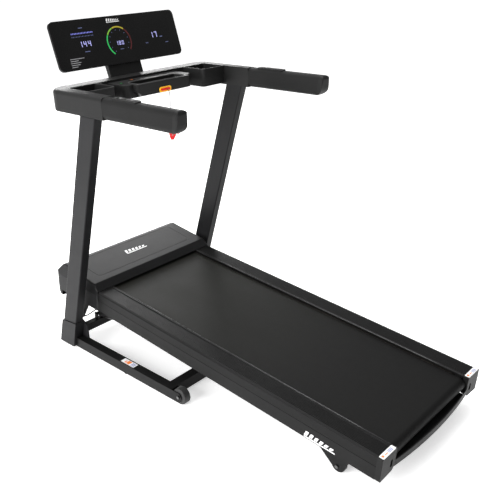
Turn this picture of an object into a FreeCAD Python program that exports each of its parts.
# Folding home treadmill: base frame with leaning uprights, U-shaped handlebar console, and a running
# deck that hinges at the front of the base. Units are millimetres, +Z is up, +Y points forward
# (towards the console) and +X is the user's right. The model is laid out from the rear edge of the
# uprights' feet on the floor, and every part is then shifted so that the origin is the bottom centre
# of the whole machine.
import FreeCAD, Part
import os
from math import atan, cos, degrees, pi, radians, sin, tan
from FreeCAD import Vector

# ---- driving dimensions -------------------------------------------------------------------------
FOOT_Y = 649.86           # from the machine's middle forward to the uprights' rear edge

# uprights and base
HALF_WIDTH = 380.0        # outer face of the uprights and handles
UPRIGHT_WIDTH = 36.0
UPRIGHT_DEPTH = 84.0      # measured level, along Y
LEAN = 0.337              # how far back an upright leans for each unit of height
UPRIGHT_WALL = 2.5
UPRIGHT_START = 30.0
SLEEVE_WALL = 3.5
SLEEVE_TOP = 118.0
SLEEVE_BOTTOM = 6.0
RAIL_OUTER = 372.0
RAIL_WIDTH = 36.0
RAIL_LOW = 6.5
RAIL_HIGH = 48.5
RAIL_REAR = -606.0
TUBE_WALL = 2.0
FORK_PLATE = 3.0
TRANSPORT_RADIUS = 32.0
TRANSPORT_Y = -644.0
REAR_TUBE_Y = -582.0      # middle of the rear cross tube
FRONT_TUBE_Y = -34.0      # middle of the front cross tube
FRONT_TUBE_HIGH = 102.0
CROSS_TUBE_HALF = 15.0
REAR_TUBE_HALF = 20.0
PLATE = 5.0               # thickness of the pivot plates

# fold pivot and gas strut, in the Y-Z plane
PIVOT_Y, PIVOT_Z = 20.0, 128.0
STRUT_X = -258.0
STRUT_LOW_Y, STRUT_LOW_Z = -32.0, 122.0
STRUT_HIGH_Y, STRUT_HIGH_Z = -330.0, 160.0
STRUT_RADIUS = 10.0
STRUT_ROD_RADIUS = 4.5
PIN_RADIUS = 4.0

# handlebar console
BAR_LOW, BAR_HIGH = 1012.0, 1087.0
BAR_WIDTH = 46.0
BAR_FRONT = -72.0         # front face of the crossbar
CROSSBAR_REAR = -140.0
BAR_ROUND = 14.0
BAR_ROUND_LOW = 3.0
SEAM_Y = -388.0
GRIP_END = -736.0
CAP_LENGTH = 20.0
GRIP_ROUND = 20.0
CORNER_ROUND = 60.0       # plan round where a handle turns into the crossbar
HANDLE_END_TOP = 14.0     # rounds at the top and bottom of a handle's end, and its lean
HANDLE_END_LOW = 38.0
HANDLE_END_LEAN = 12.0
CORE_SHORT = 38.0         # how far the steel core stops short of the grip's end
CORE_WALL = 2.0
CORE_MARGIN = 8.0
CUP_INNER_X = 216.0
CUP_REAR = -257.0
CUP_LOW = 1018.0
CUP_WALL = 2.5
POD_START, POD_END = -556.0, -428.0
POD_RISE = 3.5
POD_HALF = 15.0
KEY_LENGTH, KEY_WIDTH = 42.0, 17.0
KEY_TRAVEL = 1.2
GAP = 0.35                # clearance between pieces that move past each other
CONSOLE_HALF = 165.0
CONSOLE_REAR = -245.0
CONSOLE_LOW, CONSOLE_HIGH = 1030.0, 1079.0
CONSOLE_SPLIT = 1062.0
TRAY_HALF = 130.0
TRAY_REAR = -272.0
TRAY_DEPTH = 24.0
TRAY_WELL_HALF = 116.0
TRAY_WELL_LENGTH = 62.0
TRAY_WALL = 2.5
SHELL = 3.0
BUTTON_SINK = 6.0         # depth of the buttons' wells below the console's top
BUTTON_PROUD = 1.5
START_X, START_Y, START_RADIUS = -143.0, -196.0, 9.0
STOP_X, STOP_Y = -68.0, -164.0
STOP_HALF_X, STOP_HALF_Y, STOP_ROUND = 14.0, 6.0, 5.0
SOCKET_Z = 1046.0         # middle of the safety key's socket
SOCKET_HALF, SOCKET_HALF_HIGH, SOCKET_ROUND = 29.0, 10.0, 8.0
BLADE_HALF, BLADE_HALF_HIGH, BLADE_ROUND = 22.0, 4.0, 3.8
SLOT_CLEAR = 0.3
NECK_HALF = 80.0
NECK_THICK = 22.0
NECK_TILT = 19.0
DISPLAY_WIDTH, DISPLAY_HEIGHT = 594.0, 180.0
DISPLAY_Y, DISPLAY_Z = -56.0, 1126.0
DISPLAY_TILT = 16.4
DISPLAY_THICK = 13.0
GLASS_THICK = 2.5
DISPLAY_CORNER = 20.0

# The lanyard leaves the key level, turns down over a short bend and hangs straight to its clip.
LANYARD_RADIUS = 1.0
LANYARD_ROUTE = [(0, -281.0, 1046.0), (0, -290.0, 1045.0), (0, -295.0, 1035.0),
                 (0, -295.5, 1012.0), (0, -295.0, 962.0), (0, -295.0, 890.0)]
CLIP_TURN = -40.0         # degrees that the clip is turned about its cord
# Wiring from the left upright's foot up into the deck, close beside the fold pivot.
HARNESS_ROUTE = [(-306.0, -93.0, 181.5), (-310.0, -76.0, 168.0), (-318.0, -44.0, 142.0),
                 (-322.0, -6.0, 122.0), (-323.0, 14.0, 106.0)]
HARNESS_RADIUS = 2.5

# running deck, in its own frame: y runs forward, z is the height above the deck's underside
DECK_PITCH = 5.18         # degrees, front end high
DECK_Z = 194.2            # underside of the deck at the uprights' rear edge
DECK_HALF = 312.0
DECK_REAR = -1460.0
FRAME_HEIGHT = 49.0
FRAME_WIDTH = 25.0
FRAME_FRONT = 140.0
RAIL_TOP = 86.0
FOOT_RAIL_FRONT = -121.0
FOOT_RAIL_INNER = 233.0
END_CAP_LENGTH = 20.0
BELT_HALF = 228.0
BELT_THICK = 2.0
BELT_TOP = 76.0
ROLLER_RADIUS = 21.0
REAR_ROLLER_Y = -1430.0
FRONT_ROLLER_Y = -40.0
ROLLER_HALF = 231.0
SHAFT_RADIUS = 8.5
BEARING_RADIUS = 17.5
PULLEY_RADIUS = 40.0
PULLEY_X = -262.0
BOARD_THICK = 18.0
BOARD_HALF = 258.0
MEMBER_STATIONS = (-260.0, -760.0, -1260.0)
MOTOR_Y, MOTOR_Z = 78.0, 62.0
MOTOR_RADIUS = 46.0
MOTOR_PULLEY_RADIUS = 18.0
DRIVE_BELT_THICK = 2.5
REAR_WHEEL_RADIUS = 25.0
REAR_WHEEL_Y = -1291.0
REAR_WHEEL_X = 283.0
REAR_WHEEL_WIDTH = 20.0
MEMBER_HALF = 25.0
MEMBER_LOW, MEMBER_HIGH = 34.0, 46.0
CUSHION_X = 244.0
TENSION_X, TENSION_Z = 256.0, 39.0   # belt tension screws and their slots in the end caps
BOW = 15.1                # how far the rear lip bows out at its middle
LIP_LOW, LIP_HIGH = 12.0, 36.0
LIP_WALL = 3.0
HOOD_WALL = 3.0
HOOD_OVERHANG = 3.0       # beyond each side frame
HOOD_REAR = -120.0
HOOD_CREASE = 28.0        # run of the steep rear face
HOOD_TOP_REAR = 112.0
HOOD_TOP_FRONT = 128.0
HOOD_BROW_Y = 118.0       # where the top rolls over towards the nose
HOOD_LIP = 0.8            # gap between the hood's rear edge and the foot rails
NOSE_Y = 176.0
HOOD_NOSE_ROUND = 33.0
HOOD_CORNER_ROUND = 6.0
PANEL_HALF = 254.0
PANEL_REAR = 36.0         # from the hood's rear crease, along its top
PANEL_FRONT = 186.0
PANEL_CORNER = 18.0
PANEL_DEPTH = 2.0
PANEL_GROOVE = 1.6
INLET_X = 214.0
INLET_HALF = 37.5
INLET_LOW, INLET_HIGH = 12.5, 43.5
ROCKER_Y, ROCKER_Z = NOSE_Y - 9.0, 28.0
SIDES = (-1, 1)


# ---- helpers ------------------------------------------------------------------------------------
def box(x0, x1, y0, y1, z0, z1):
    corner = Vector(min(x0, x1), min(y0, y1), min(z0, z1))
    return Part.makeBox(abs(x1 - x0), abs(y1 - y0), abs(z1 - z0), corner)


def rod(x0, x1, y, z, radius):
    """A cylinder along X."""
    return Part.makeCylinder(radius, abs(x1 - x0), Vector(min(x0, x1), y, z), Vector(1, 0, 0))


def pin(x, y, z0, z1, radius):
    """A cylinder along Z."""
    return Part.makeCylinder(radius, abs(z1 - z0), Vector(x, y, min(z0, z1)), Vector(0, 0, 1))


def rounded_wire(corners, radius):
    """A closed wire through the corners, each rounded by an arc. A corner may carry its own radius."""
    edges = []
    starts = []
    count = len(corners)
    for index, corner in enumerate(corners):
        point = corner[0]
        before = corners[index - 1][0]
        after = corners[(index + 1) % count][0]
        arm_in = (before - point).normalize()
        arm_out = (after - point).normalize()
        size = corner[1] if len(corner) > 1 else radius
        half = arm_in.getAngle(arm_out) / 2
        if size <= 0:
            starts.append((point, point, None))
            continue
        reach = size / tan(half)
        middle = (arm_in + arm_out).normalize()
        centre = point + middle * (size / sin(half))
        starts.append((point + arm_in * reach, point + arm_out * reach, centre - middle * size))
    for index in range(count):
        first, last, crown = starts[index]
        if crown is not None:
            edges.append(Part.Arc(first, crown, last).toShape())
        following = starts[(index + 1) % count][0]
        if (following - last).Length > 1e-6:
            edges.append(Part.LineSegment(last, following).toShape())
    return Part.Wire(edges)


def side_prism(points, x0, x1, radius=0.0):
    """Extrude a Y-Z outline along X. Points are (y, z) or (y, z, corner radius)."""
    low = min(x0, x1)
    corners = [(Vector(low, p[0], p[1]),) + tuple(p[2:]) for p in points]
    return Part.Face(rounded_wire(corners, radius)).extrude(Vector(abs(x1 - x0), 0, 0))


def plan_prism(points, z0, z1, radius=0.0):
    """Extrude an X-Y outline upwards. Points are (x, y) or (x, y, corner radius)."""
    corners = [(Vector(p[0], p[1], z0),) + tuple(p[2:]) for p in points]
    return Part.Face(rounded_wire(corners, radius)).extrude(Vector(0, 0, z1 - z0))


def front_prism(points, y0, y1, radius=0.0):
    """Extrude an X-Z outline along Y. Points are (x, z) or (x, z, corner radius)."""
    low = min(y0, y1)
    corners = [(Vector(p[0], low, p[1]),) + tuple(p[2:]) for p in points]
    return Part.Face(rounded_wire(corners, radius)).extrude(Vector(0, abs(y1 - y0), 0))


def rectangle(a0, a1, b0, b1):
    return [(a0, b0), (a1, b0), (a1, b1), (a0, b1)]


def fuse(shapes):
    result = shapes[0].multiFuse(shapes[1:])
    return result.removeSplitter()


def rounded_edges(shape, radius, wanted):
    """Fillet the edges that the test picks, and keep the shape as it was if that fails."""
    edges = [edge for edge in shape.Edges if wanted(edge)]
    try:
        result = shape.makeFillet(radius, edges)
    except Exception:
        return shape
    return result if result.isValid() and result.Volume > 0 else shape


def on_deck(shape):
    """Carry a shape from the deck's own frame to the machine's."""
    result = shape.copy()
    result.rotate(Vector(0, 0, 0), Vector(1, 0, 0), DECK_PITCH)
    result.translate(Vector(0, 0, DECK_Z))
    return result


def to_deck(y, z):
    """A point of the machine's Y-Z plane, in the deck's own frame."""
    pitch = radians(DECK_PITCH)
    drop = z - DECK_Z
    return (y * cos(pitch) + drop * sin(pitch), drop * cos(pitch) - y * sin(pitch))


def bolt_x(x_head, x_tip, y, z, radius, head_radius):
    """A bolt along X with its hexagonal head at x_head, on the far side from x_tip."""
    way = 1 if x_tip > x_head else -1
    head_length = radius * 1.2
    shank = rod(x_head, x_tip, y, z, radius)
    turn = [pi / 3 * k for k in range(6)]
    outline = [(y + head_radius * cos(a), z + head_radius * sin(a)) for a in turn]
    head = side_prism(outline, x_head, x_head - way * head_length)
    return shank.fuse(head)


# ---- base frame ---------------------------------------------------------------------------------
def base_rails():
    rails = []
    for side in SIDES:
        outer = side * RAIL_OUTER
        inner = side * (RAIL_OUTER - RAIL_WIDTH)
        tube = box(outer, inner, RAIL_REAR, -LEAN * RAIL_LOW - SLEEVE_WALL, RAIL_LOW, RAIL_HIGH)
        hollow = box(outer - side * TUBE_WALL, inner + side * TUBE_WALL, RAIL_REAR + TUBE_WALL,
                     -60, RAIL_LOW + TUBE_WALL, RAIL_HIGH - TUBE_WALL)
        tube = tube.cut(sleeve_block(side)).cut(hollow)
        fork = [(RAIL_REAR, RAIL_LOW), (TRANSPORT_Y - 4, RAIL_LOW, 14.0),
                (TRANSPORT_Y - 16, TRANSPORT_RADIUS, 8.0), (TRANSPORT_Y - 6, RAIL_HIGH, 8.0),
                (RAIL_REAR, RAIL_HIGH)]
        plates = [side_prism(fork, outer, outer - side * FORK_PLATE),
                  side_prism(fork, inner, inner + side * FORK_PLATE)]
        frame = fuse([tube] + plates)
        axle_hole = rod(outer, inner, TRANSPORT_Y, TRANSPORT_RADIUS, PIN_RADIUS)
        rails.append(frame.cut(axle_hole))
    return Part.Compound(rails)


def sleeve_block(side, grow=0.0):
    """The sleeve's outer form: a leaning box around an upright's foot."""
    inner_x = side * (HALF_WIDTH - UPRIGHT_WIDTH - SLEEVE_WALL - grow)
    outer_x = side * (HALF_WIDTH + SLEEVE_WALL + grow)
    return side_prism(leaning_outline(SLEEVE_BOTTOM, SLEEVE_TOP, SLEEVE_WALL + 2 + grow),
                      inner_x, outer_x)


def leaning_outline(low, high, margin=0.0):
    """Y-Z outline of a leaning tube between two heights."""
    return [(-LEAN * low - margin, low), (UPRIGHT_DEPTH - LEAN * low + margin, low),
            (UPRIGHT_DEPTH - LEAN * high + margin, high - margin * LEAN),
            (-LEAN * high - margin, high + (UPRIGHT_DEPTH + margin) * LEAN * 0.25)]


def sleeves():
    parts = []
    for side in SIDES:
        sleeve = sleeve_block(side)
        socket = upright_block(side, SLEEVE_BOTTOM + 4, SLEEVE_TOP + 60)
        plate_x = side * (HALF_WIDTH - UPRIGHT_WIDTH - SLEEVE_WALL)
        bracket = [(-62, RAIL_HIGH, 0), (60, RAIL_HIGH, 10), (PIVOT_Y + 24, PIVOT_Z + 10, 16),
                   (PIVOT_Y - 8, PIVOT_Z + 26, 18), (-62, FRONT_TUBE_HIGH + 6, 8)]
        plate = side_prism(bracket, plate_x, plate_x - side * PLATE)
        body = fuse([sleeve, plate]).cut(socket)
        pivot_hole = rod(plate_x, plate_x - side * PLATE, PIVOT_Y, PIVOT_Z, PIN_RADIUS + 2)
        parts.append(body.cut(pivot_hole).cut(base_bolts()))
    return Part.Compound(parts)


def cross_tubes():
    reach = HALF_WIDTH - UPRIGHT_WIDTH - SLEEVE_WALL - PLATE
    half = CROSS_TUBE_HALF
    front = box(-reach, reach, FRONT_TUBE_Y - half, FRONT_TUBE_Y + half,
                FRONT_TUBE_HIGH - 2 * half, FRONT_TUBE_HIGH)
    bore = box(-reach + PLATE, reach - PLATE, FRONT_TUBE_Y - half + TUBE_WALL,
               FRONT_TUBE_Y + half - TUBE_WALL, FRONT_TUBE_HIGH - 2 * half + TUBE_WALL,
               FRONT_TUBE_HIGH - TUBE_WALL)
    ears = []
    for offset in (-14.0, 11.0):
        ear = [(FRONT_TUBE_Y - 12, FRONT_TUBE_HIGH), (FRONT_TUBE_Y + 12, FRONT_TUBE_HIGH),
               (STRUT_LOW_Y + 10, STRUT_LOW_Z + 10, 9.0), (STRUT_LOW_Y - 10, STRUT_LOW_Z + 10, 9.0)]
        ears.append(side_prism(ear, STRUT_X + offset, STRUT_X + offset + 3))
    front = fuse([front] + ears).cut(bore)
    front = front.cut(rod(STRUT_X - 20, STRUT_X + 20, STRUT_LOW_Y, STRUT_LOW_Z, PIN_RADIUS))
    rear_reach = RAIL_OUTER - RAIL_WIDTH
    rear = box(-rear_reach, rear_reach, REAR_TUBE_Y - REAR_TUBE_HALF,
               REAR_TUBE_Y + REAR_TUBE_HALF, RAIL_LOW + 2, RAIL_HIGH)
    bore_half = REAR_TUBE_HALF - TUBE_WALL
    rear_bore = box(-rear_reach + PLATE, rear_reach - PLATE, REAR_TUBE_Y - bore_half,
                    REAR_TUBE_Y + bore_half, RAIL_LOW + 2 + TUBE_WALL, RAIL_HIGH - TUBE_WALL)
    return Part.Compound([front, rear.cut(rear_bore)])


def foot_pads():
    pads = []
    for side in SIDES:
        x = side * (RAIL_OUTER - RAIL_WIDTH / 2)
        for y, top in ((60.0, SLEEVE_BOTTOM), (12.0, SLEEVE_BOTTOM), (-330.0, RAIL_LOW)):
            pads.append(Part.makeCone(15, 13, top, Vector(x, y, 0)))
    return Part.Compound(pads)


def transport_wheel(side):
    outer = RAIL_OUTER - FORK_PLATE - 0.8
    inner = RAIL_OUTER - RAIL_WIDTH + FORK_PLATE + 0.8
    wheel = rod(side * inner, side * outer, TRANSPORT_Y, TRANSPORT_RADIUS, TRANSPORT_RADIUS)
    wheel = rounded_edges(wheel, 4.0, lambda e: e.Length > TRANSPORT_RADIUS * 5)
    return wheel.cut(rod(side * inner, side * outer, TRANSPORT_Y, TRANSPORT_RADIUS,
                         PIN_RADIUS + 0.05))


def base_bolts():
    bolts = []
    for side in SIDES:
        outer = side * RAIL_OUTER
        bolts.append(bolt_x(outer, side * (RAIL_OUTER - RAIL_WIDTH - 4), TRANSPORT_Y,
                            TRANSPORT_RADIUS, PIN_RADIUS, 6.5))
        plate_face = side * (HALF_WIDTH - UPRIGHT_WIDTH - SLEEVE_WALL - PLATE)
        for z in (72.0, 92.0):
            y = 30 - LEAN * z
            bolts.append(bolt_x(plate_face, plate_face + side * (PLATE + SLEEVE_WALL), y, z, 4, 7))
    bolts.append(rod(STRUT_X - 18, STRUT_X + 18, STRUT_LOW_Y, STRUT_LOW_Z, PIN_RADIUS))
    return Part.Compound(bolts)


def upright_block(side, low, high, shrink=0.0):
    inner = side * (HALF_WIDTH - UPRIGHT_WIDTH + shrink)
    outer = side * (HALF_WIDTH - shrink)
    outline = [(-LEAN * low + shrink, low), (UPRIGHT_DEPTH - LEAN * low - shrink, low),
               (UPRIGHT_DEPTH - LEAN * high - shrink, high), (-LEAN * high + shrink, high)]
    return side_prism(outline, inner, outer)


def upright(side):
    outer = upright_block(side, UPRIGHT_START, BAR_LOW)
    leaning = Vector(0, -LEAN, 1).normalize()

    def is_long_corner(edge):
        if len(edge.Vertexes) < 2:
            return False
        way = edge.Vertexes[1].Point - edge.Vertexes[0].Point
        return way.Length > 500 and abs(way.normalize().dot(leaning)) > 0.99

    outer = rounded_edges(outer, 4.0, is_long_corner)
    return outer.cut(upright_block(side, UPRIGHT_START + 3, BAR_LOW - 3, UPRIGHT_WALL))


# ---- handlebar console --------------------------------------------------------------------------
def bar_outline(margin, rear, corner):
    """Plan of the U: handles at each side, crossbar at the front, open towards the user."""
    outer = HALF_WIDTH - margin
    inner = HALF_WIDTH - BAR_WIDTH + margin
    front = BAR_FRONT - margin
    crossbar = CROSSBAR_REAR + margin
    round_out = max(corner - margin, 0)
    return [(-outer, rear, 0), (-outer, front, round_out), (outer, front, round_out),
            (outer, rear, 0), (inner, rear, 0), (inner, crossbar, 0), (-inner, crossbar, 0),
            (-inner, rear, 0)]


def handlebar_core():
    low, high = BAR_LOW + CORE_MARGIN, BAR_HIGH - CORE_MARGIN
    end = GRIP_END + CORE_SHORT + 1
    tube = plan_prism(bar_outline(CORE_MARGIN, end, CORNER_ROUND), low, high)
    hollow = plan_prism(bar_outline(CORE_MARGIN + CORE_WALL, end + CORE_WALL, CORNER_ROUND),
                        low + CORE_WALL, high - CORE_WALL)
    return tube.cut(hollow)


def console_frame():
    body = plan_prism(bar_outline(0, SEAM_Y, CORNER_ROUND), BAR_LOW, BAR_HIGH)

    def is_outer_rim(edge, height=BAR_HIGH):
        centre = edge.BoundBox.Center
        if edge.BoundBox.ZLength > 1e-3 or abs(centre.z - height) > 1e-3:
            return False
        flank = abs(abs(centre.x) - HALF_WIDTH) < 1e-3
        corner = edge.BoundBox.XLength > 5 and edge.BoundBox.YLength > 5
        front = abs(centre.y - BAR_FRONT) < 1e-3
        return flank or corner or front

    body = rounded_edges(body, BAR_ROUND, is_outer_rim)
    body = rounded_edges(body, BAR_ROUND_LOW, lambda edge: is_outer_rim(edge, BAR_LOW))
    channel = plan_prism(bar_outline(CORE_MARGIN, SEAM_Y - 1, CORNER_ROUND), BAR_LOW + CORE_MARGIN,
                         BAR_HIGH - CORE_MARGIN)
    return body.cut(channel)


def grip_section(side, y0, y1, margin=0.0, radius=BAR_ROUND):
    inner = side * (HALF_WIDTH - BAR_WIDTH + margin)
    outer = side * (HALF_WIDTH - margin)
    outline = rectangle(min(inner, outer), max(inner, outer), BAR_LOW + margin, BAR_HIGH - margin)
    return front_prism(outline, y0, y1, radius)


def handle_profile(end, top_round, low_round):
    """Side outline of a handle whose end leans back below."""
    outline = [(SEAM_Y + 5, BAR_LOW, 0), (SEAM_Y + 5, BAR_HIGH, 0), (end, BAR_HIGH, top_round),
               (end + HANDLE_END_LEAN, BAR_LOW, low_round)]
    return side_prism(outline, -HALF_WIDTH - 1, HALF_WIDTH + 1)


def key_stations():
    """Middles of a pod's two keys along the handle."""
    middle = (POD_START + POD_END) / 2
    return (middle - 28.0, middle + 28.0)


def key_outline(x, y, grow):
    half_w = KEY_WIDTH / 2 + grow
    half_l = KEY_LENGTH / 2 + grow
    return rectangle(x - half_w, x + half_w, y - half_l, y + half_l)


def grip(side):
    body = grip_section(side, SEAM_Y - 0.6, GRIP_END, 0, GRIP_ROUND).common(
        handle_profile(GRIP_END, 0, 0))
    body = body.common(handle_profile(GRIP_END - CAP_LENGTH, HANDLE_END_TOP, HANDLE_END_LOW))
    x = side * (HALF_WIDTH - BAR_WIDTH / 2)
    pod = plan_prism(rectangle(x - POD_HALF, x + POD_HALF, POD_START, POD_END), BAR_HIGH - 6,
                     BAR_HIGH + POD_RISE, 12.0)
    body = fuse([body, pod])
    body = body.cut(grip_section(side, SEAM_Y, GRIP_END + CORE_SHORT, CORE_MARGIN, 0))
    for y in key_stations():
        pocket = plan_prism(key_outline(x, y, GAP), BAR_HIGH - 5, BAR_HIGH + POD_RISE + 1, 7.0)
        body = body.cut(pocket)
    return body


def grip_key(side, y):
    x = side * (HALF_WIDTH - BAR_WIDTH / 2)
    return plan_prism(key_outline(x, y, 0), BAR_HIGH - 5 + KEY_TRAVEL + GAP,
                      BAR_HIGH + POD_RISE + 1.5, 7.0)


def handle_end_caps():
    end = GRIP_END - CAP_LENGTH
    reach = GRIP_END + HANDLE_END_LEAN
    outer_end = handle_profile(end, HANDLE_END_TOP, HANDLE_END_LOW)
    caps = []
    for side in SIDES:
        inner, outer = side * (HALF_WIDTH - BAR_WIDTH), side * HALF_WIDTH
        plan = [(inner, reach, 0), (inner, end, 14.0), (outer, end, 14.0), (outer, reach, 0)]
        cap = grip_section(side, reach, end, 0, GRIP_ROUND).common(outer_end)
        cap = cap.common(plan_prism(plan, BAR_LOW - 2, BAR_HIGH + 2))
        caps.append(cap.cut(handle_profile(GRIP_END, 0, 0)))
    return Part.Compound(caps)


def cup_holders():
    cups = []
    for side in SIDES:
        outer = side * (HALF_WIDTH - BAR_WIDTH)
        inner = side * CUP_INNER_X
        outline = [(outer, CROSSBAR_REAR, 0), (outer, CUP_REAR, 0), (inner, CUP_REAR, 12.0),
                   (inner, CROSSBAR_REAR, 0)]
        block = plan_prism(outline, CUP_LOW, BAR_HIGH - 1)
        hole = plan_prism(rectangle(min(outer, inner) + CUP_WALL, max(outer, inner) - CUP_WALL,
                                    CUP_REAR + CUP_WALL, CROSSBAR_REAR - CUP_WALL),
                          CUP_LOW + CUP_WALL, BAR_HIGH + 5, 9.5)
        cups.append(block.cut(hole))
    return Part.Compound(cups)


def console_plan(margin):
    """The console body, widest at the crossbar, with the tray's nose towards the user."""
    wide = CONSOLE_HALF - margin
    nose = TRAY_HALF - margin
    front = CROSSBAR_REAR - margin
    return [(-wide, front, 0), (-wide, CONSOLE_REAR + margin, max(20 - margin, 2)),
            (-nose, CONSOLE_REAR + margin, 0), (-nose, TRAY_REAR + margin, max(12 - margin, 2)),
            (nose, TRAY_REAR + margin, max(12 - margin, 2)), (nose, CONSOLE_REAR + margin, 0),
            (wide, CONSOLE_REAR + margin, max(20 - margin, 2)), (wide, front, 0)]


def console_shell():
    body = plan_prism(console_plan(0), CONSOLE_LOW, CONSOLE_SPLIT)
    slope = [(TRAY_REAR - 5, CONSOLE_LOW - 5), (CONSOLE_REAR, CONSOLE_LOW - 5),
             (CONSOLE_REAR, CONSOLE_LOW + 2), (TRAY_REAR - 5, CONSOLE_LOW + 7)]
    body = body.cut(side_prism(slope, -CONSOLE_HALF, CONSOLE_HALF))
    for side in SIDES:
        trim = [(side * TRAY_HALF, CONSOLE_LOW - 1), (side * (TRAY_HALF - 26), CONSOLE_LOW - 1),
                (side * TRAY_HALF, CONSOLE_LOW + 26)]
        body = body.cut(front_prism(trim, TRAY_REAR - 1, CONSOLE_REAR))
    floor_z = CONSOLE_LOW + 10
    body = body.cut(plan_prism(console_plan(SHELL), floor_z + 20, CONSOLE_SPLIT + 1))
    body = body.cut(box(-TRAY_HALF + 30, TRAY_HALF - 30, CONSOLE_REAR + 6, CROSSBAR_REAR - 6,
                        floor_z, floor_z + 21))
    tub_low = CONSOLE_HIGH - TRAY_DEPTH - TRAY_WALL - GAP
    body = body.cut(tray_well(TRAY_WALL + GAP, tub_low, CONSOLE_SPLIT + 1))
    return body.cut(key_slot(TRAY_REAR - 1, TRAY_REAR + 16)).cut(socket_block(-1, 2))


def tray_well(grow, low, high):
    """The rounded block that fills the tray's well, or its tub when grown."""
    reach = TRAY_WELL_HALF + grow
    rear = TRAY_REAR + 12
    outline = rectangle(-reach, reach, rear - grow, rear + TRAY_WELL_LENGTH + grow)
    return plan_prism(outline, low, high, 10.0 + grow)


def key_slot(y0, y1):
    """The slot that the safety key's blade slides in."""
    half, half_high = BLADE_HALF + SLOT_CLEAR, BLADE_HALF_HIGH + SLOT_CLEAR
    outline = rectangle(-half, half, SOCKET_Z - half_high, SOCKET_Z + half_high)
    return front_prism(outline, y0, y1, 4.0)


def socket_block(proud, sunk):
    outline = rectangle(-SOCKET_HALF, SOCKET_HALF, SOCKET_Z - SOCKET_HALF_HIGH,
                        SOCKET_Z + SOCKET_HALF_HIGH)
    return front_prism(outline, TRAY_REAR + proud, TRAY_REAR + sunk, SOCKET_ROUND)


def console_tray():
    lid = plan_prism(console_plan(0), CONSOLE_SPLIT, CONSOLE_HIGH)

    def is_top_rim(edge):
        low_enough = edge.BoundBox.YMax < CROSSBAR_REAR - 0.5
        return edge.BoundBox.ZMin > CONSOLE_HIGH - 0.01 and low_enough

    lid = rounded_edges(lid, 2.5, is_top_rim)
    floor_z = CONSOLE_HIGH - TRAY_DEPTH
    tub = tray_well(TRAY_WALL, floor_z - TRAY_WALL, CONSOLE_SPLIT)
    lid = fuse([lid, tub])
    lid = lid.cut(tray_well(0, floor_z, CONSOLE_HIGH + 1))
    well_low = CONSOLE_HIGH - BUTTON_SINK
    lid = lid.cut(pin(START_X, START_Y, well_low, CONSOLE_HIGH + 1, START_RADIUS + GAP))
    return lid.cut(stop_block(GAP, well_low, CONSOLE_HIGH + 1))


def stop_block(grow, low, high):
    half_x, half_y = STOP_HALF_X + grow, STOP_HALF_Y + grow
    outline = rectangle(STOP_X - half_x, STOP_X + half_x, STOP_Y - half_y, STOP_Y + half_y)
    return plan_prism(outline, low, high, STOP_ROUND)


def start_button():
    low = CONSOLE_HIGH - BUTTON_SINK + KEY_TRAVEL + GAP
    return pin(START_X, START_Y, low, CONSOLE_HIGH + BUTTON_PROUD, START_RADIUS)


def stop_button():
    low = CONSOLE_HIGH - BUTTON_SINK + KEY_TRAVEL + GAP
    return stop_block(0, low, CONSOLE_HIGH + BUTTON_PROUD)


def key_socket():
    return socket_block(-1.5, 2).cut(key_slot(TRAY_REAR - 3, TRAY_REAR + 3))


def safety_key():
    outline = rectangle(-BLADE_HALF, BLADE_HALF, SOCKET_Z - BLADE_HALF_HIGH,
                        SOCKET_Z + BLADE_HALF_HIGH)
    blade = front_prism(outline, TRAY_REAR - 6, TRAY_REAR + 14, BLADE_ROUND)
    post = Part.makeCylinder(3.5, 3, Vector(0, TRAY_REAR - 6, SOCKET_Z), Vector(0, -1, 0))
    return blade.fuse(post)


def smooth_path(points):
    """Straight runs joined by tangent arcs, each as large as its two runs allow."""
    radii = []
    spots = [Vector(*p) for p in points]
    edges = []
    last = spots[0]
    for before, point, after in zip(spots, spots[1:], spots[2:]):
        run_in = before - point
        run_out = after - point
        turn = pi - run_in.getAngle(run_out)
        shorter = min(run_in.Length, run_out.Length)
        if turn < 0.002:
            continue
        reach = 0.45 * shorter
        radii.append(reach / tan(turn / 2))
        arm_in = Vector(run_in).normalize()
        arm_out = Vector(run_out).normalize()
        middle = (arm_in + arm_out).normalize()
        centre = point + middle * (radii[-1] / cos(turn / 2))
        start, stop = point + arm_in * reach, point + arm_out * reach
        edges.append(Part.LineSegment(last, start).toShape())
        edges.append(Part.Arc(start, centre - middle * radii[-1], stop).toShape())
        last = stop
    edges.append(Part.LineSegment(last, spots[-1]).toShape())
    return Part.Wire(edges), radii


def tube_along(points, radius, label):
    path, radii = smooth_path(points)
    first = Vector(*points[0])
    way = Vector(*points[1]) - first
    disc = Part.Wire(Part.Circle(first, way, radius).toShape())
    tube = path.makePipeShell([disc], True, True)
    ideal = pi * radius ** 2 * path.Length
    print(label, "length", round(path.Length, 1), "radii", [round(r, 1) for r in radii],
          "volume ratio", round(tube.Volume / ideal, 4))
    return tube


def lanyard_cord():
    return tube_along(LANYARD_ROUTE, LANYARD_RADIUS, "lanyard")


def lanyard_clip():
    x, y, z = LANYARD_ROUTE[-1]
    body = front_prism([(x - 13, z, 5), (x + 13, z, 5), (x + 13, z - 16, 6), (x + 4, z - 34, 4),
                        (x - 8, z - 34, 4), (x - 13, z - 16, 6)], y - 5, y + 5)
    jaw = box(x + 13, x + 26, y - 3, y + 3, z - 12, z - 6)
    clip = body.fuse(jaw)
    clip.rotate(Vector(x, y, z), Vector(0, 0, 1), CLIP_TURN)
    return clip


def tilted(shape, y, z, angle):
    """Lean a piece drawn upright at the origin forwards by an angle, and stand it at (y, z)."""
    result = shape.copy()
    result.rotate(Vector(0, 0, 0), Vector(1, 0, 0), -angle)
    result.translate(Vector(0, y, z))
    return result


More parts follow.
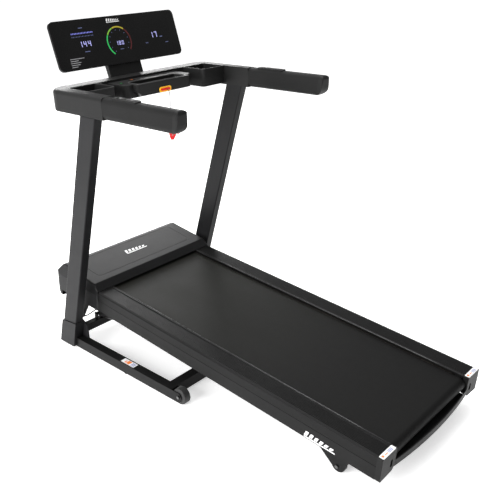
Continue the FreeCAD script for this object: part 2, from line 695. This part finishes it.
def display_neck():
    blade = box(-NECK_HALF, NECK_HALF, 0, NECK_THICK, -36, 104)
    blade = tilted(blade, BAR_FRONT + 13, BAR_HIGH, NECK_TILT)
    foot = box(-NECK_HALF, NECK_HALF, BAR_FRONT, BAR_FRONT + 26, BAR_LOW + 14, BAR_HIGH - 12)
    neck = fuse([blade, foot])
    keep = box(-200, 200, BAR_FRONT, 200, BAR_LOW, 1400)
    behind = tilted(box(-400, 400, -200, DISPLAY_THICK, -60, 400), DISPLAY_Y, DISPLAY_Z,
                    DISPLAY_TILT)
    return neck.common(keep).cut(behind)


def display_block(y0, y1, inset=0.0):
    half = DISPLAY_WIDTH / 2 - inset
    outline = rectangle(-half, half, inset, DISPLAY_HEIGHT - inset)
    return front_prism(outline, y0, y1, DISPLAY_CORNER - inset)


def display_shell():
    body = display_block(GLASS_THICK, DISPLAY_THICK)
    body = rounded_edges(body, 5.0, lambda e: e.BoundBox.YMin > DISPLAY_THICK - 0.01)
    body = body.cut(display_block(GLASS_THICK - 1, DISPLAY_THICK - 3, 3.0))
    return tilted(body, DISPLAY_Y, DISPLAY_Z, DISPLAY_TILT)


def display_glass():
    return tilted(display_block(0, GLASS_THICK), DISPLAY_Y, DISPLAY_Z, DISPLAY_TILT)


# ---- running deck -------------------------------------------------------------------------------
def side_frame(side):
    outer = side * DECK_HALF
    inner = side * (DECK_HALF - FRAME_WIDTH)
    tube = box(outer, inner, DECK_REAR + END_CAP_LENGTH, FRAME_FRONT, 0, FRAME_HEIGHT)
    hollow = box(outer - side * TUBE_WALL, inner + side * TUBE_WALL,
                 DECK_REAR + END_CAP_LENGTH + TUBE_WALL, FRAME_FRONT - TUBE_WALL, TUBE_WALL,
                 FRAME_HEIGHT - TUBE_WALL)
    tube = tube.cut(hollow)
    pivot_y, pivot_z = to_deck(PIVOT_Y, PIVOT_Z)
    ear = [(pivot_y + 34, 0.5, 0), (pivot_y - 60, 0.5, 0), (pivot_y - 16, pivot_z - 14, 16),
           (pivot_y + 16, pivot_z - 14, 16)]
    plate = side_prism(ear, side * (DECK_HALF - 4), side * (DECK_HALF - 4 - PLATE))
    body = fuse([tube, plate])
    bore = rod(side * DECK_HALF, side * (DECK_HALF - 20), pivot_y, pivot_z, PIN_RADIUS + 2)
    body = body.cut(bore)
    return on_deck(body)


def strut_bracket():
    """The lug on the left side frame that holds the strut's upper pin."""
    lug_y, lug_z = to_deck(STRUT_HIGH_Y, STRUT_HIGH_Z)
    foot_x = -(DECK_HALF - FRAME_WIDTH)
    web = side_prism([(lug_y + 22, 28), (lug_y - 22, 28), (lug_y - 12, lug_z - 10, 10),
                      (lug_y + 12, lug_z - 10, 10)], foot_x, foot_x + 5)
    stud = rod(foot_x + 5, STRUT_X + 9, lug_y, lug_z, 2.2)
    return on_deck(web.fuse(stud))


def foot_rail(side):
    """Aluminium side rail: an outer band, a ribbed top to stand on and an inner bead by the belt."""
    outer, inner = DECK_HALF, FOOT_RAIL_INNER
    low = FRAME_HEIGHT + 1.5
    wall = 3.0
    outline = [(outer, low, 0), (outer, RAIL_TOP - 3, 4.0), (outer - 10, RAIL_TOP - 0.5, 4.0),
               (inner + 12, RAIL_TOP - 2.5, 2.0), (inner + 9, RAIL_TOP, 1.5), (inner, RAIL_TOP, 2.0),
               (inner, BELT_TOP + 1.5, 0), (inner + wall, BELT_TOP + 1.5, 0),
               (inner + wall, RAIL_TOP - 6, 0), (outer - wall, RAIL_TOP - 6, 0),
               (outer - wall, low, 0)]
    signed = [(side * p[0], p[1], p[2]) for p in outline]
    rail = front_prism(signed, DECK_REAR + END_CAP_LENGTH, FOOT_RAIL_FRONT)
    rib_low, rib_high = inner + 16, outer - 14
    rib_count = 9
    for index in range(rib_count):
        x = side * (rib_low + (rib_high - rib_low) * index / (rib_count - 1))
        rail = rail.cut(box(x - 0.8, x + 0.8, DECK_REAR, FOOT_RAIL_FRONT, RAIL_TOP - 3.2,
                            RAIL_TOP + 1))
    foot = box(side * (outer - wall), side * (outer - 22), DECK_REAR + END_CAP_LENGTH,
               FOOT_RAIL_FRONT, low, low + wall)
    return on_deck(fuse([rail, foot]))


def rear_end_caps():
    caps = []
    for side in SIDES:
        outline = [(side * DECK_HALF, 0, 2), (side * DECK_HALF, RAIL_TOP, 5),
                   (side * FOOT_RAIL_INNER, RAIL_TOP, 3), (side * FOOT_RAIL_INNER, 18, 4),
                   (side * (FOOT_RAIL_INNER + 14), 4, 4)]
        cap = front_prism(outline, DECK_REAR, DECK_REAR + END_CAP_LENGTH)
        middle = side * TENSION_X
        slot = front_prism(rectangle(middle - 6, middle + 6, 24, 54), DECK_REAR - 1,
                           DECK_REAR + END_CAP_LENGTH + 1, 5.9)
        caps.append(on_deck(cap.cut(slot)))
    return Part.Compound(caps)


def rear_crossbar():
    """Bottom plate and bowed lip that close the deck's rear end below the belt."""
    half = FOOT_RAIL_INNER - 0.5
    back = DECK_REAR

    def bowed(depth, z0, z1, shift):
        ends = [Vector(-half, back + depth, z0), Vector(half, back + depth, z0)]
        rear = [Vector(half, back + shift, z0), Vector(-half, back + shift, z0)]
        crown = Vector(0, back + shift - BOW, z0)
        edges = [Part.LineSegment(ends[0], ends[1]).toShape(),
                 Part.LineSegment(ends[1], rear[0]).toShape(),
                 Part.Arc(rear[0], crown, rear[1]).toShape(),
                 Part.LineSegment(rear[1], ends[0]).toShape()]
        return Part.Face(Part.Wire(edges)).extrude(Vector(0, 0, z1 - z0))

    block = bowed(40, LIP_LOW, LIP_HIGH, 0)
    scoop = bowed(41, LIP_LOW + LIP_WALL, LIP_HIGH + 1, LIP_WALL + 1)
    return on_deck(block.cut(scoop))


def cross_members():
    members = []
    reach = DECK_HALF - FRAME_WIDTH
    for y in MEMBER_STATIONS:
        tube = box(-reach, reach, y - MEMBER_HALF, y + MEMBER_HALF, MEMBER_LOW, MEMBER_HIGH)
        bore_half = MEMBER_HALF - TUBE_WALL
        bore = box(-reach + TUBE_WALL, reach - TUBE_WALL, y - bore_half, y + bore_half,
                   MEMBER_LOW + TUBE_WALL, MEMBER_HIGH - TUBE_WALL)
        members.append(tube.cut(bore))
    plate = box(-reach, reach, 14, FRAME_FRONT - 4, 0, 4)
    saddle_top = MOTOR_Z - MOTOR_RADIUS * cos(radians(35))
    saddle = box(-100, 100, MOTOR_Y - 26, MOTOR_Y + 26, 4, saddle_top)
    members.append(fuse([plate, saddle]).cut(rod(-150, 150, MOTOR_Y, MOTOR_Z, MOTOR_RADIUS)))
    return Part.Compound([on_deck(m) for m in members] + [strut_bracket()])


def cushion_spots():
    return [(x, y) for x in (-CUSHION_X, CUSHION_X) for y in MEMBER_STATIONS]


def deck_board():
    top = BELT_TOP - BELT_THICK - 0.5
    board = box(-BOARD_HALF, BOARD_HALF, REAR_ROLLER_Y + 30, FRONT_ROLLER_Y - 45, top - BOARD_THICK,
                top)

    def is_end_edge(edge):
        bounds = edge.BoundBox
        return bounds.YLength < 0.01 and bounds.ZLength < 0.01 and bounds.ZMin > top - 0.01

    return on_deck(rounded_edges(board, 5.0, is_end_edge))


def deck_cushions():
    board_low = BELT_TOP - BELT_THICK - 0.5 - BOARD_THICK
    return Part.Compound([on_deck(pin(x, y, MEMBER_HIGH, board_low, 12))
                          for x, y in cushion_spots()])


def roller_height():
    return BELT_TOP - BELT_THICK - GAP - ROLLER_RADIUS


def loop_around(y0, y1, z, radius0, radius1, x0, x1):
    """A solid block with the outline of a belt round two wheels on the same level."""
    gap = abs(y1 - y0)
    lean = (radius1 - radius0) / gap
    up = cos(atan(lean))
    points = []
    for sign in (1, -1):
        points.append(Vector(x0, y0 + radius0 * -lean, z + sign * radius0 * up))
        points.append(Vector(x0, y1 + radius1 * -lean, z + sign * radius1 * up))
    edges = [Part.LineSegment(points[0], points[1]).toShape(),
             Part.Arc(points[1], Vector(x0, y1 + radius1, z), points[3]).toShape(),
             Part.LineSegment(points[3], points[2]).toShape(),
             Part.Arc(points[2], Vector(x0, y0 - radius0, z), points[0]).toShape()]
    return Part.Face(Part.Wire(edges)).extrude(Vector(x1 - x0, 0, 0))


def running_belt():
    z = roller_height()
    inner_radius = ROLLER_RADIUS + GAP
    outer = loop_around(REAR_ROLLER_Y, FRONT_ROLLER_Y, z, inner_radius + BELT_THICK,
                        inner_radius + BELT_THICK, -BELT_HALF, BELT_HALF)
    inner = loop_around(REAR_ROLLER_Y, FRONT_ROLLER_Y, z, inner_radius, inner_radius,
                        -BELT_HALF - 1, BELT_HALF + 1)
    return on_deck(outer.cut(inner))


def roller(y):
    z = roller_height()
    drum = rod(-ROLLER_HALF, ROLLER_HALF, y, z, ROLLER_RADIUS)
    drum = rounded_edges(drum, 2.0, lambda e: e.Length > ROLLER_RADIUS * 5)
    return drum.cut(rod(-ROLLER_HALF, ROLLER_HALF, y, z, BEARING_RADIUS + 0.06))


def front_roller():
    z = roller_height()
    pulley = rod(PULLEY_X - 10, PULLEY_X + 10, FRONT_ROLLER_Y, z, PULLEY_RADIUS)
    for index in range(5):
        x = PULLEY_X - 7 + 3.5 * index
        ring = rod(x - 0.7, x + 0.7, FRONT_ROLLER_Y, z, PULLEY_RADIUS + 1)
        pulley = pulley.cut(ring.cut(rod(x - 1, x + 1, FRONT_ROLLER_Y, z, PULLEY_RADIUS - 1.6)))
    hub = rod(PULLEY_X + 10, -ROLLER_HALF, FRONT_ROLLER_Y, z, 20)
    wheel = pulley.fuse(hub).cut(rod(PULLEY_X - 11, -ROLLER_HALF + 1, FRONT_ROLLER_Y, z,
                                     SHAFT_RADIUS + 2))
    return on_deck(fuse([roller(FRONT_ROLLER_Y), wheel]))


def rear_roller():
    return on_deck(roller(REAR_ROLLER_Y))


def roller_bearings():
    z = roller_height()
    rings = []
    for y in (FRONT_ROLLER_Y, REAR_ROLLER_Y):
        for side in SIDES:
            outer_x, inner_x = side * (ROLLER_HALF - 2), side * (ROLLER_HALF - 14)
            ring = rod(outer_x, inner_x, y, z, BEARING_RADIUS)
            rings.append(on_deck(ring.cut(rod(outer_x, inner_x, y, z, SHAFT_RADIUS))))
    return Part.Compound(rings)


def roller_shafts():
    z = roller_height()
    reach = DECK_HALF - FRAME_WIDTH
    shafts = []
    for y in (FRONT_ROLLER_Y, REAR_ROLLER_Y):
        shafts.append(on_deck(rod(-reach, reach, y, z, SHAFT_RADIUS)))
    return Part.Compound(shafts)


def drive_motor():
    can = rod(-105, 95, MOTOR_Y, MOTOR_Z, MOTOR_RADIUS)
    can = rounded_edges(can, 5.0, lambda e: e.Length > MOTOR_RADIUS * 5)
    fins = []
    for index in range(6):
        x = -80 + 14 * index
        fins.append(rod(x, x + 5, MOTOR_Y, MOTOR_Z, MOTOR_RADIUS + 2.5))
    body = fuse([can] + fins)
    saddle = box(-101, 101, MOTOR_Y - 27, MOTOR_Y + 27, 3, MOTOR_Z - MOTOR_RADIUS * 0.7)
    body = body.cut(saddle.cut(rod(-150, 150, MOTOR_Y, MOTOR_Z, MOTOR_RADIUS)))
    nose = rod(-118, -105, MOTOR_Y, MOTOR_Z, 16)
    body = fuse([body, nose])
    return on_deck(body.cut(rod(-119, -80, MOTOR_Y, MOTOR_Z, 7.05)))


def motor_pulley():
    shaft = rod(PULLEY_X - 8, -82, MOTOR_Y, MOTOR_Z, 7)
    wheel = rod(PULLEY_X - 10, PULLEY_X + 10, MOTOR_Y, MOTOR_Z, MOTOR_PULLEY_RADIUS)
    flywheel = rod(-160, -135, MOTOR_Y, MOTOR_Z, 44)
    flywheel = rounded_edges(flywheel, 3.0, lambda e: e.Length > 200)
    return on_deck(fuse([shaft, wheel, flywheel]))


def drive_belt():
    """Ribbed belt from the motor's pulley to the front roller's, drawn along the pulleys' line."""
    z = roller_height()
    span = Vector(0, MOTOR_Y - FRONT_ROLLER_Y, MOTOR_Z - z)
    length = span.Length

    def loop(grow, half):
        return loop_around(0, length, 0, PULLEY_RADIUS + GAP + grow,
                           MOTOR_PULLEY_RADIUS + GAP + grow, PULLEY_X - half, PULLEY_X + half)

    belt = loop(DRIVE_BELT_THICK, 8).cut(loop(0, 9))
    belt.rotate(Vector(0, 0, 0), Vector(1, 0, 0), degrees(atan(span.z / span.y)))
    belt.translate(Vector(0, FRONT_ROLLER_Y, z))
    return on_deck(belt)


def controller_box():
    tray = box(116, 250, 30, 130, 4, 46)
    return on_deck(rounded_edges(tray, 4.0, lambda e: e.BoundBox.ZMin > 45.9))


def hood_front(margin):
    """Front outline of the hood: nearly plumb sides and rounded shoulders."""
    half = DECK_HALF + HOOD_OVERHANG - margin
    top = 140 - margin
    return [(-half, -40), (half, -40), (half, 70, 20), (half - 12, top, 12), (-half + 12, top, 12),
            (-half, 70, 20)]


def hood_plan(margin):
    """Plan of the hood, with small rear corners and a full round at each end of the nose."""
    half = DECK_HALF + HOOD_OVERHANG - margin
    rear, nose = HOOD_REAR + margin, NOSE_Y - margin
    rear_round, nose_round = 9 - margin, HOOD_NOSE_ROUND - margin
    return [(-half, rear, rear_round), (half, rear, rear_round), (half, nose, nose_round),
            (-half, nose, nose_round)]


def hood_block(margin):
    """The hood as a solid, from its side, front and plan outlines."""
    wide = DECK_HALF + 10
    block = side_prism(hood_outline(margin), -wide, wide)
    block = block.common(front_prism(hood_front(margin), -200, 260))
    return block.common(plan_prism(hood_plan(margin), -60, 200))


def hood_shell():
    skin = hood_block(0)
    skin = rounded_edges(skin, HOOD_CORNER_ROUND, is_hood_corner)
    skin = rounded_edges(skin, 5.0, is_hood_shoulder)
    shell = skin.cut(hood_block(HOOD_WALL))
    shell = shell.cut(panel_block(PANEL_DEPTH, PANEL_GROOVE))
    shell = shell.cut(box(-DECK_HALF, DECK_HALF, -200, HOOD_REAR + 12, -10, RAIL_TOP + HOOD_LIP))
    opening = INLET_HALF + 0.5
    shell = shell.cut(box(INLET_X - opening, INLET_X + opening, 120, 200, INLET_LOW - 0.5,
                          INLET_HIGH + 0.5))
    return on_deck(shell)


def is_hood_corner(edge):
    """The edges at the two ends of the nose, below the top's front corners."""
    bounds = edge.BoundBox
    return bounds.YMin > 90 and bounds.ZMin > 74 and abs(bounds.Center.x) > 290


def is_hood_shoulder(edge):
    bounds = edge.BoundBox
    return bounds.ZMin > 100 and bounds.XLength < 12 and bounds.YLength > 40


def hood_outline(margin):
    """Closed hood outline: rear lip, sloping top, rounded nose and open underside."""
    low = -30.0
    return [(HOOD_REAR + margin, RAIL_TOP + HOOD_LIP - (5 if margin else 0), 0),
            (HOOD_REAR + HOOD_CREASE + margin, HOOD_TOP_REAR - margin, 7),
            (HOOD_BROW_Y - margin, HOOD_TOP_FRONT - margin, 36),
            (NOSE_Y - 5 - margin, 72, 34), (NOSE_Y - 2 - margin, 0, 14),
            (NOSE_Y - 32, low + margin, 8), (NOSE_Y - 44, low + margin, 0), (NOSE_Y - 44, -4, 0),
            (HOOD_REAR + margin, -4 if margin else 0, 0)]


def panel_block(depth, groove=0.0):
    """The inset panel on the hood's top, lying along the top's own slope."""
    crease = HOOD_REAR + HOOD_CREASE
    slope = degrees(atan((HOOD_TOP_FRONT - HOOD_TOP_REAR) / (HOOD_BROW_Y - crease)))
    half = PANEL_HALF + groove
    outline = rectangle(-half, half, PANEL_REAR - groove, PANEL_FRONT + groove)
    block = plan_prism(outline, -depth, 1.0, PANEL_CORNER + groove)
    block.rotate(Vector(0, 0, 0), Vector(1, 0, 0), slope)
    block.translate(Vector(0, crease, HOOD_TOP_REAR))
    return block


def hood_panel():
    wide = DECK_HALF + 10
    skin = side_prism(hood_outline(0), -wide, wide)
    below = skin.common(panel_block(PANEL_DEPTH))
    return on_deck(below)


def belly_pan():
    """Plate under the motor bay, between the side frames."""
    reach = DECK_HALF - FRAME_WIDTH - 0.5
    pan = box(-reach, reach, -60, 128, -3.5, -0.5)
    return on_deck(pan)


def mains_inlet():
    """Recessed inlet and switch bezel on the hood's nose."""
    y0, y1 = 140.0, NOSE_Y - 2
    block = box(INLET_X - INLET_HALF, INLET_X + INLET_HALF, y0, y1, INLET_LOW, INLET_HIGH)
    socket = box(INLET_X + 2, INLET_X + 30, y1 - 18, y1 + 1, 17, 39)
    seat = box(INLET_X - 32, INLET_X - 8, y1 - 16, y1 + 1, 16, 40)
    blades = [box(x - 1, x + 1, y1 - 18, y1 - 9, 25, 31) for x in (INLET_X + 9, INLET_X + 23)]
    blades.append(box(INLET_X + 15, INLET_X + 17, y1 - 18, y1 - 9, 29, 35))
    body = block.cut(socket).cut(seat)
    return on_deck(fuse([body] + blades))


def rocker_switch():
    """Mains rocker, pivoting about X inside the bezel, drawn with its upper half pressed."""
    x0, x1 = INLET_X - 31.2, INLET_X - 8.8
    face = [(ROCKER_Y - 4, ROCKER_Z - 8), (ROCKER_Y - 4, ROCKER_Z + 8),
            (ROCKER_Y + 4, ROCKER_Z + 9, 1), (ROCKER_Y + 5, ROCKER_Z, 3),
            (ROCKER_Y + 8, ROCKER_Z - 9, 1)]
    return on_deck(side_prism(face, x0, x1))


def rear_wheel_brackets():
    parts = []
    wheel_y, wheel_z = to_deck(REAR_WHEEL_Y, REAR_WHEEL_RADIUS)
    ear = [(wheel_y + 92, -0.2, 0), (wheel_y + 8, wheel_z - 14, 16),
           (wheel_y - 14, wheel_z - 10, 16), (wheel_y - 50, -0.2, 0)]
    half = REAR_WHEEL_WIDTH / 2
    for side in SIDES:
        ears = [side_prism(ear, side * x, side * (x + 3))
                for x in (REAR_WHEEL_X - half - 4, REAR_WHEEL_X + half + 1)]
        roof = box(side * (REAR_WHEEL_X - half - 4), side * (REAR_WHEEL_X + half + 4),
                   wheel_y - 50, wheel_y + 92, -3, -0.2)
        bracket = fuse([roof] + ears)
        bracket = bracket.cut(rod(side * 260, side * 310, wheel_y, wheel_z, PIN_RADIUS))
        parts.append(on_deck(bracket))
    return Part.Compound(parts)


def rear_wheel(side):
    half = REAR_WHEEL_WIDTH / 2
    x0, x1 = side * (REAR_WHEEL_X - half), side * (REAR_WHEEL_X + half)
    wheel = rod(x0, x1, REAR_WHEEL_Y, REAR_WHEEL_RADIUS, REAR_WHEEL_RADIUS)
    wheel = rounded_edges(wheel, 3.0, lambda e: e.Length > REAR_WHEEL_RADIUS * 5)
    return wheel.cut(rod(x0, x1, REAR_WHEEL_Y, REAR_WHEEL_RADIUS, PIN_RADIUS + 0.05))


def deck_bolts():
    """Wheel axles, fold pivot bolts and the two belt-tension screws seen through the end caps."""
    bolts = []
    wheel_x = REAR_WHEEL_X + REAR_WHEEL_WIDTH / 2 + 4
    for side in SIDES:
        bolts.append(bolt_x(side * wheel_x, side * (wheel_x - REAR_WHEEL_WIDTH - 10), REAR_WHEEL_Y,
                            REAR_WHEEL_RADIUS, PIN_RADIUS, 6.5))
        plate = HALF_WIDTH - UPRIGHT_WIDTH - SLEEVE_WALL
        shank = rod(side * (DECK_HALF - 12), side * (plate - PLATE - 0.5), PIVOT_Y, PIVOT_Z,
                    PIN_RADIUS + 1.95)
        journal = rod(side * (plate - PLATE - 0.5), side * (plate - 0.6), PIVOT_Y, PIVOT_Z,
                      PIN_RADIUS + 1.95)
        head = rod(side * (DECK_HALF - 18), side * (DECK_HALF - 9), PIVOT_Y, PIVOT_Z, 11)
        bolts.append(fuse([shank, journal, head]))
        z = roller_height()
        forward = Vector(0, 1, 0)
        screw = Vector(side * TENSION_X, DECK_REAR + 11, TENSION_Z)
        thread = Part.makeCylinder(3.8, 60, screw + forward * 3, forward)
        thread = thread.cut(rod(-300, 300, REAR_ROLLER_Y, z, SHAFT_RADIUS))
        head = Part.makeCylinder(5.4, 6, screw, forward)
        bolts.append(on_deck(thread.fuse(head)))
    return Part.Compound(bolts)


def harness_cable():
    return tube_along(HARNESS_ROUTE, HARNESS_RADIUS, "harness")


# ---- gas strut ----------------------------------------------------------------------------------
def strut_frame(shape):
    """Lay a piece drawn along X from the strut's lower pin along the strut's own line."""
    rise = STRUT_HIGH_Z - STRUT_LOW_Z
    run = STRUT_LOW_Y - STRUT_HIGH_Y
    result = shape.copy()
    result.rotate(Vector(0, 0, 0), Vector(0, 0, 1), -90)
    result.rotate(Vector(0, 0, 0), Vector(1, 0, 0), -degrees(atan(rise / run)))
    result.translate(Vector(STRUT_X, STRUT_LOW_Y, STRUT_LOW_Z))
    return result


def strut_length():
    rise = STRUT_HIGH_Z - STRUT_LOW_Z
    run = STRUT_LOW_Y - STRUT_HIGH_Y
    return (rise ** 2 + run ** 2) ** 0.5


def along(x0, x1, radius):
    return Part.makeCylinder(radius, x1 - x0, Vector(x0, 0, 0), Vector(1, 0, 0))


def gas_cylinder():
    body = along(14, 200, STRUT_RADIUS)
    eye = Part.makeCylinder(8, 12, Vector(0, -6, 0), Vector(0, 1, 0))
    link = along(4, 16, 5)
    tube = fuse([body, eye, link])
    tube = tube.cut(along(30, 201, STRUT_ROD_RADIUS + 0.05))
    tube = tube.cut(Part.makeCylinder(PIN_RADIUS + 0.05, 14, Vector(0, -7, 0), Vector(0, 1, 0)))
    return strut_frame(tube)


def gas_rod():
    length = strut_length()
    shaft = along(110, length - 12, STRUT_ROD_RADIUS)
    eye = Part.makeCylinder(13, 9, Vector(length, -4.5, 0), Vector(0, 1, 0))
    piece = fuse([shaft, eye])
    hole = Part.makeCylinder(9.5, 14, Vector(length, -7, 0), Vector(0, 1, 0))
    return strut_frame(piece.cut(hole))


# ---- output -------------------------------------------------------------------------------------
def build_parts():
    parts = {
        "base_rails": base_rails(), "upright_sleeves": sleeves(), "cross_tubes": cross_tubes(),
        "foot_pads": foot_pads(), "base_bolts": base_bolts(),
        "handlebar_core": handlebar_core(), "console_frame": console_frame(),
        "handle_end_caps": handle_end_caps(), "cup_holders": cup_holders(),
        "console_shell": console_shell(), "console_tray": console_tray(),
        "key_socket": key_socket(), "safety_key": safety_key(), "lanyard_cord": lanyard_cord(),
        "lanyard_clip": lanyard_clip(), "start_button": start_button(),
        "stop_button": stop_button(), "display_neck": display_neck(),
        "display_shell": display_shell(), "display_glass": display_glass(),
        "rear_end_caps": rear_end_caps(), "rear_crossbar": rear_crossbar(),
        "cross_members": cross_members(), "deck_board": deck_board(),
        "deck_cushions": deck_cushions(), "running_belt": running_belt(),
        "front_roller": front_roller(), "rear_roller": rear_roller(),
        "roller_bearings": roller_bearings(), "roller_shafts": roller_shafts(),
        "drive_motor": drive_motor(), "motor_pulley": motor_pulley(), "drive_belt": drive_belt(),
        "controller_box": controller_box(), "hood_shell": hood_shell(),
        "hood_panel": hood_panel(), "belly_pan": belly_pan(), "mains_inlet": mains_inlet(),
        "rocker_switch": rocker_switch(), "rear_wheel_brackets": rear_wheel_brackets(),
        "deck_bolts": deck_bolts(), "harness_cable": harness_cable(),
        "gas_cylinder": gas_cylinder(), "gas_rod": gas_rod(),
    }
    for side, label in zip(SIDES, ("left", "right")):
        parts["upright_" + label] = upright(side)
        parts["transport_wheel_" + label] = transport_wheel(side)
        parts["grip_" + label] = grip(side)
        parts["side_frame_" + label] = side_frame(side)
        parts["foot_rail_" + label] = foot_rail(side)
        parts["rear_wheel_" + label] = rear_wheel(side)
        for y, step in zip(key_stations(), ("down", "up")):
            parts["key_" + label + "_" + step] = grip_key(side, y)
    return parts


os.makedirs("parts", exist_ok=True)
for name, shape in build_parts().items():
    shape.translate(Vector(0, FOOT_Y, 0))
    if not shape.isValid():
        print("invalid shape:", name)
    shape.exportStep("parts/" + name + ".step")
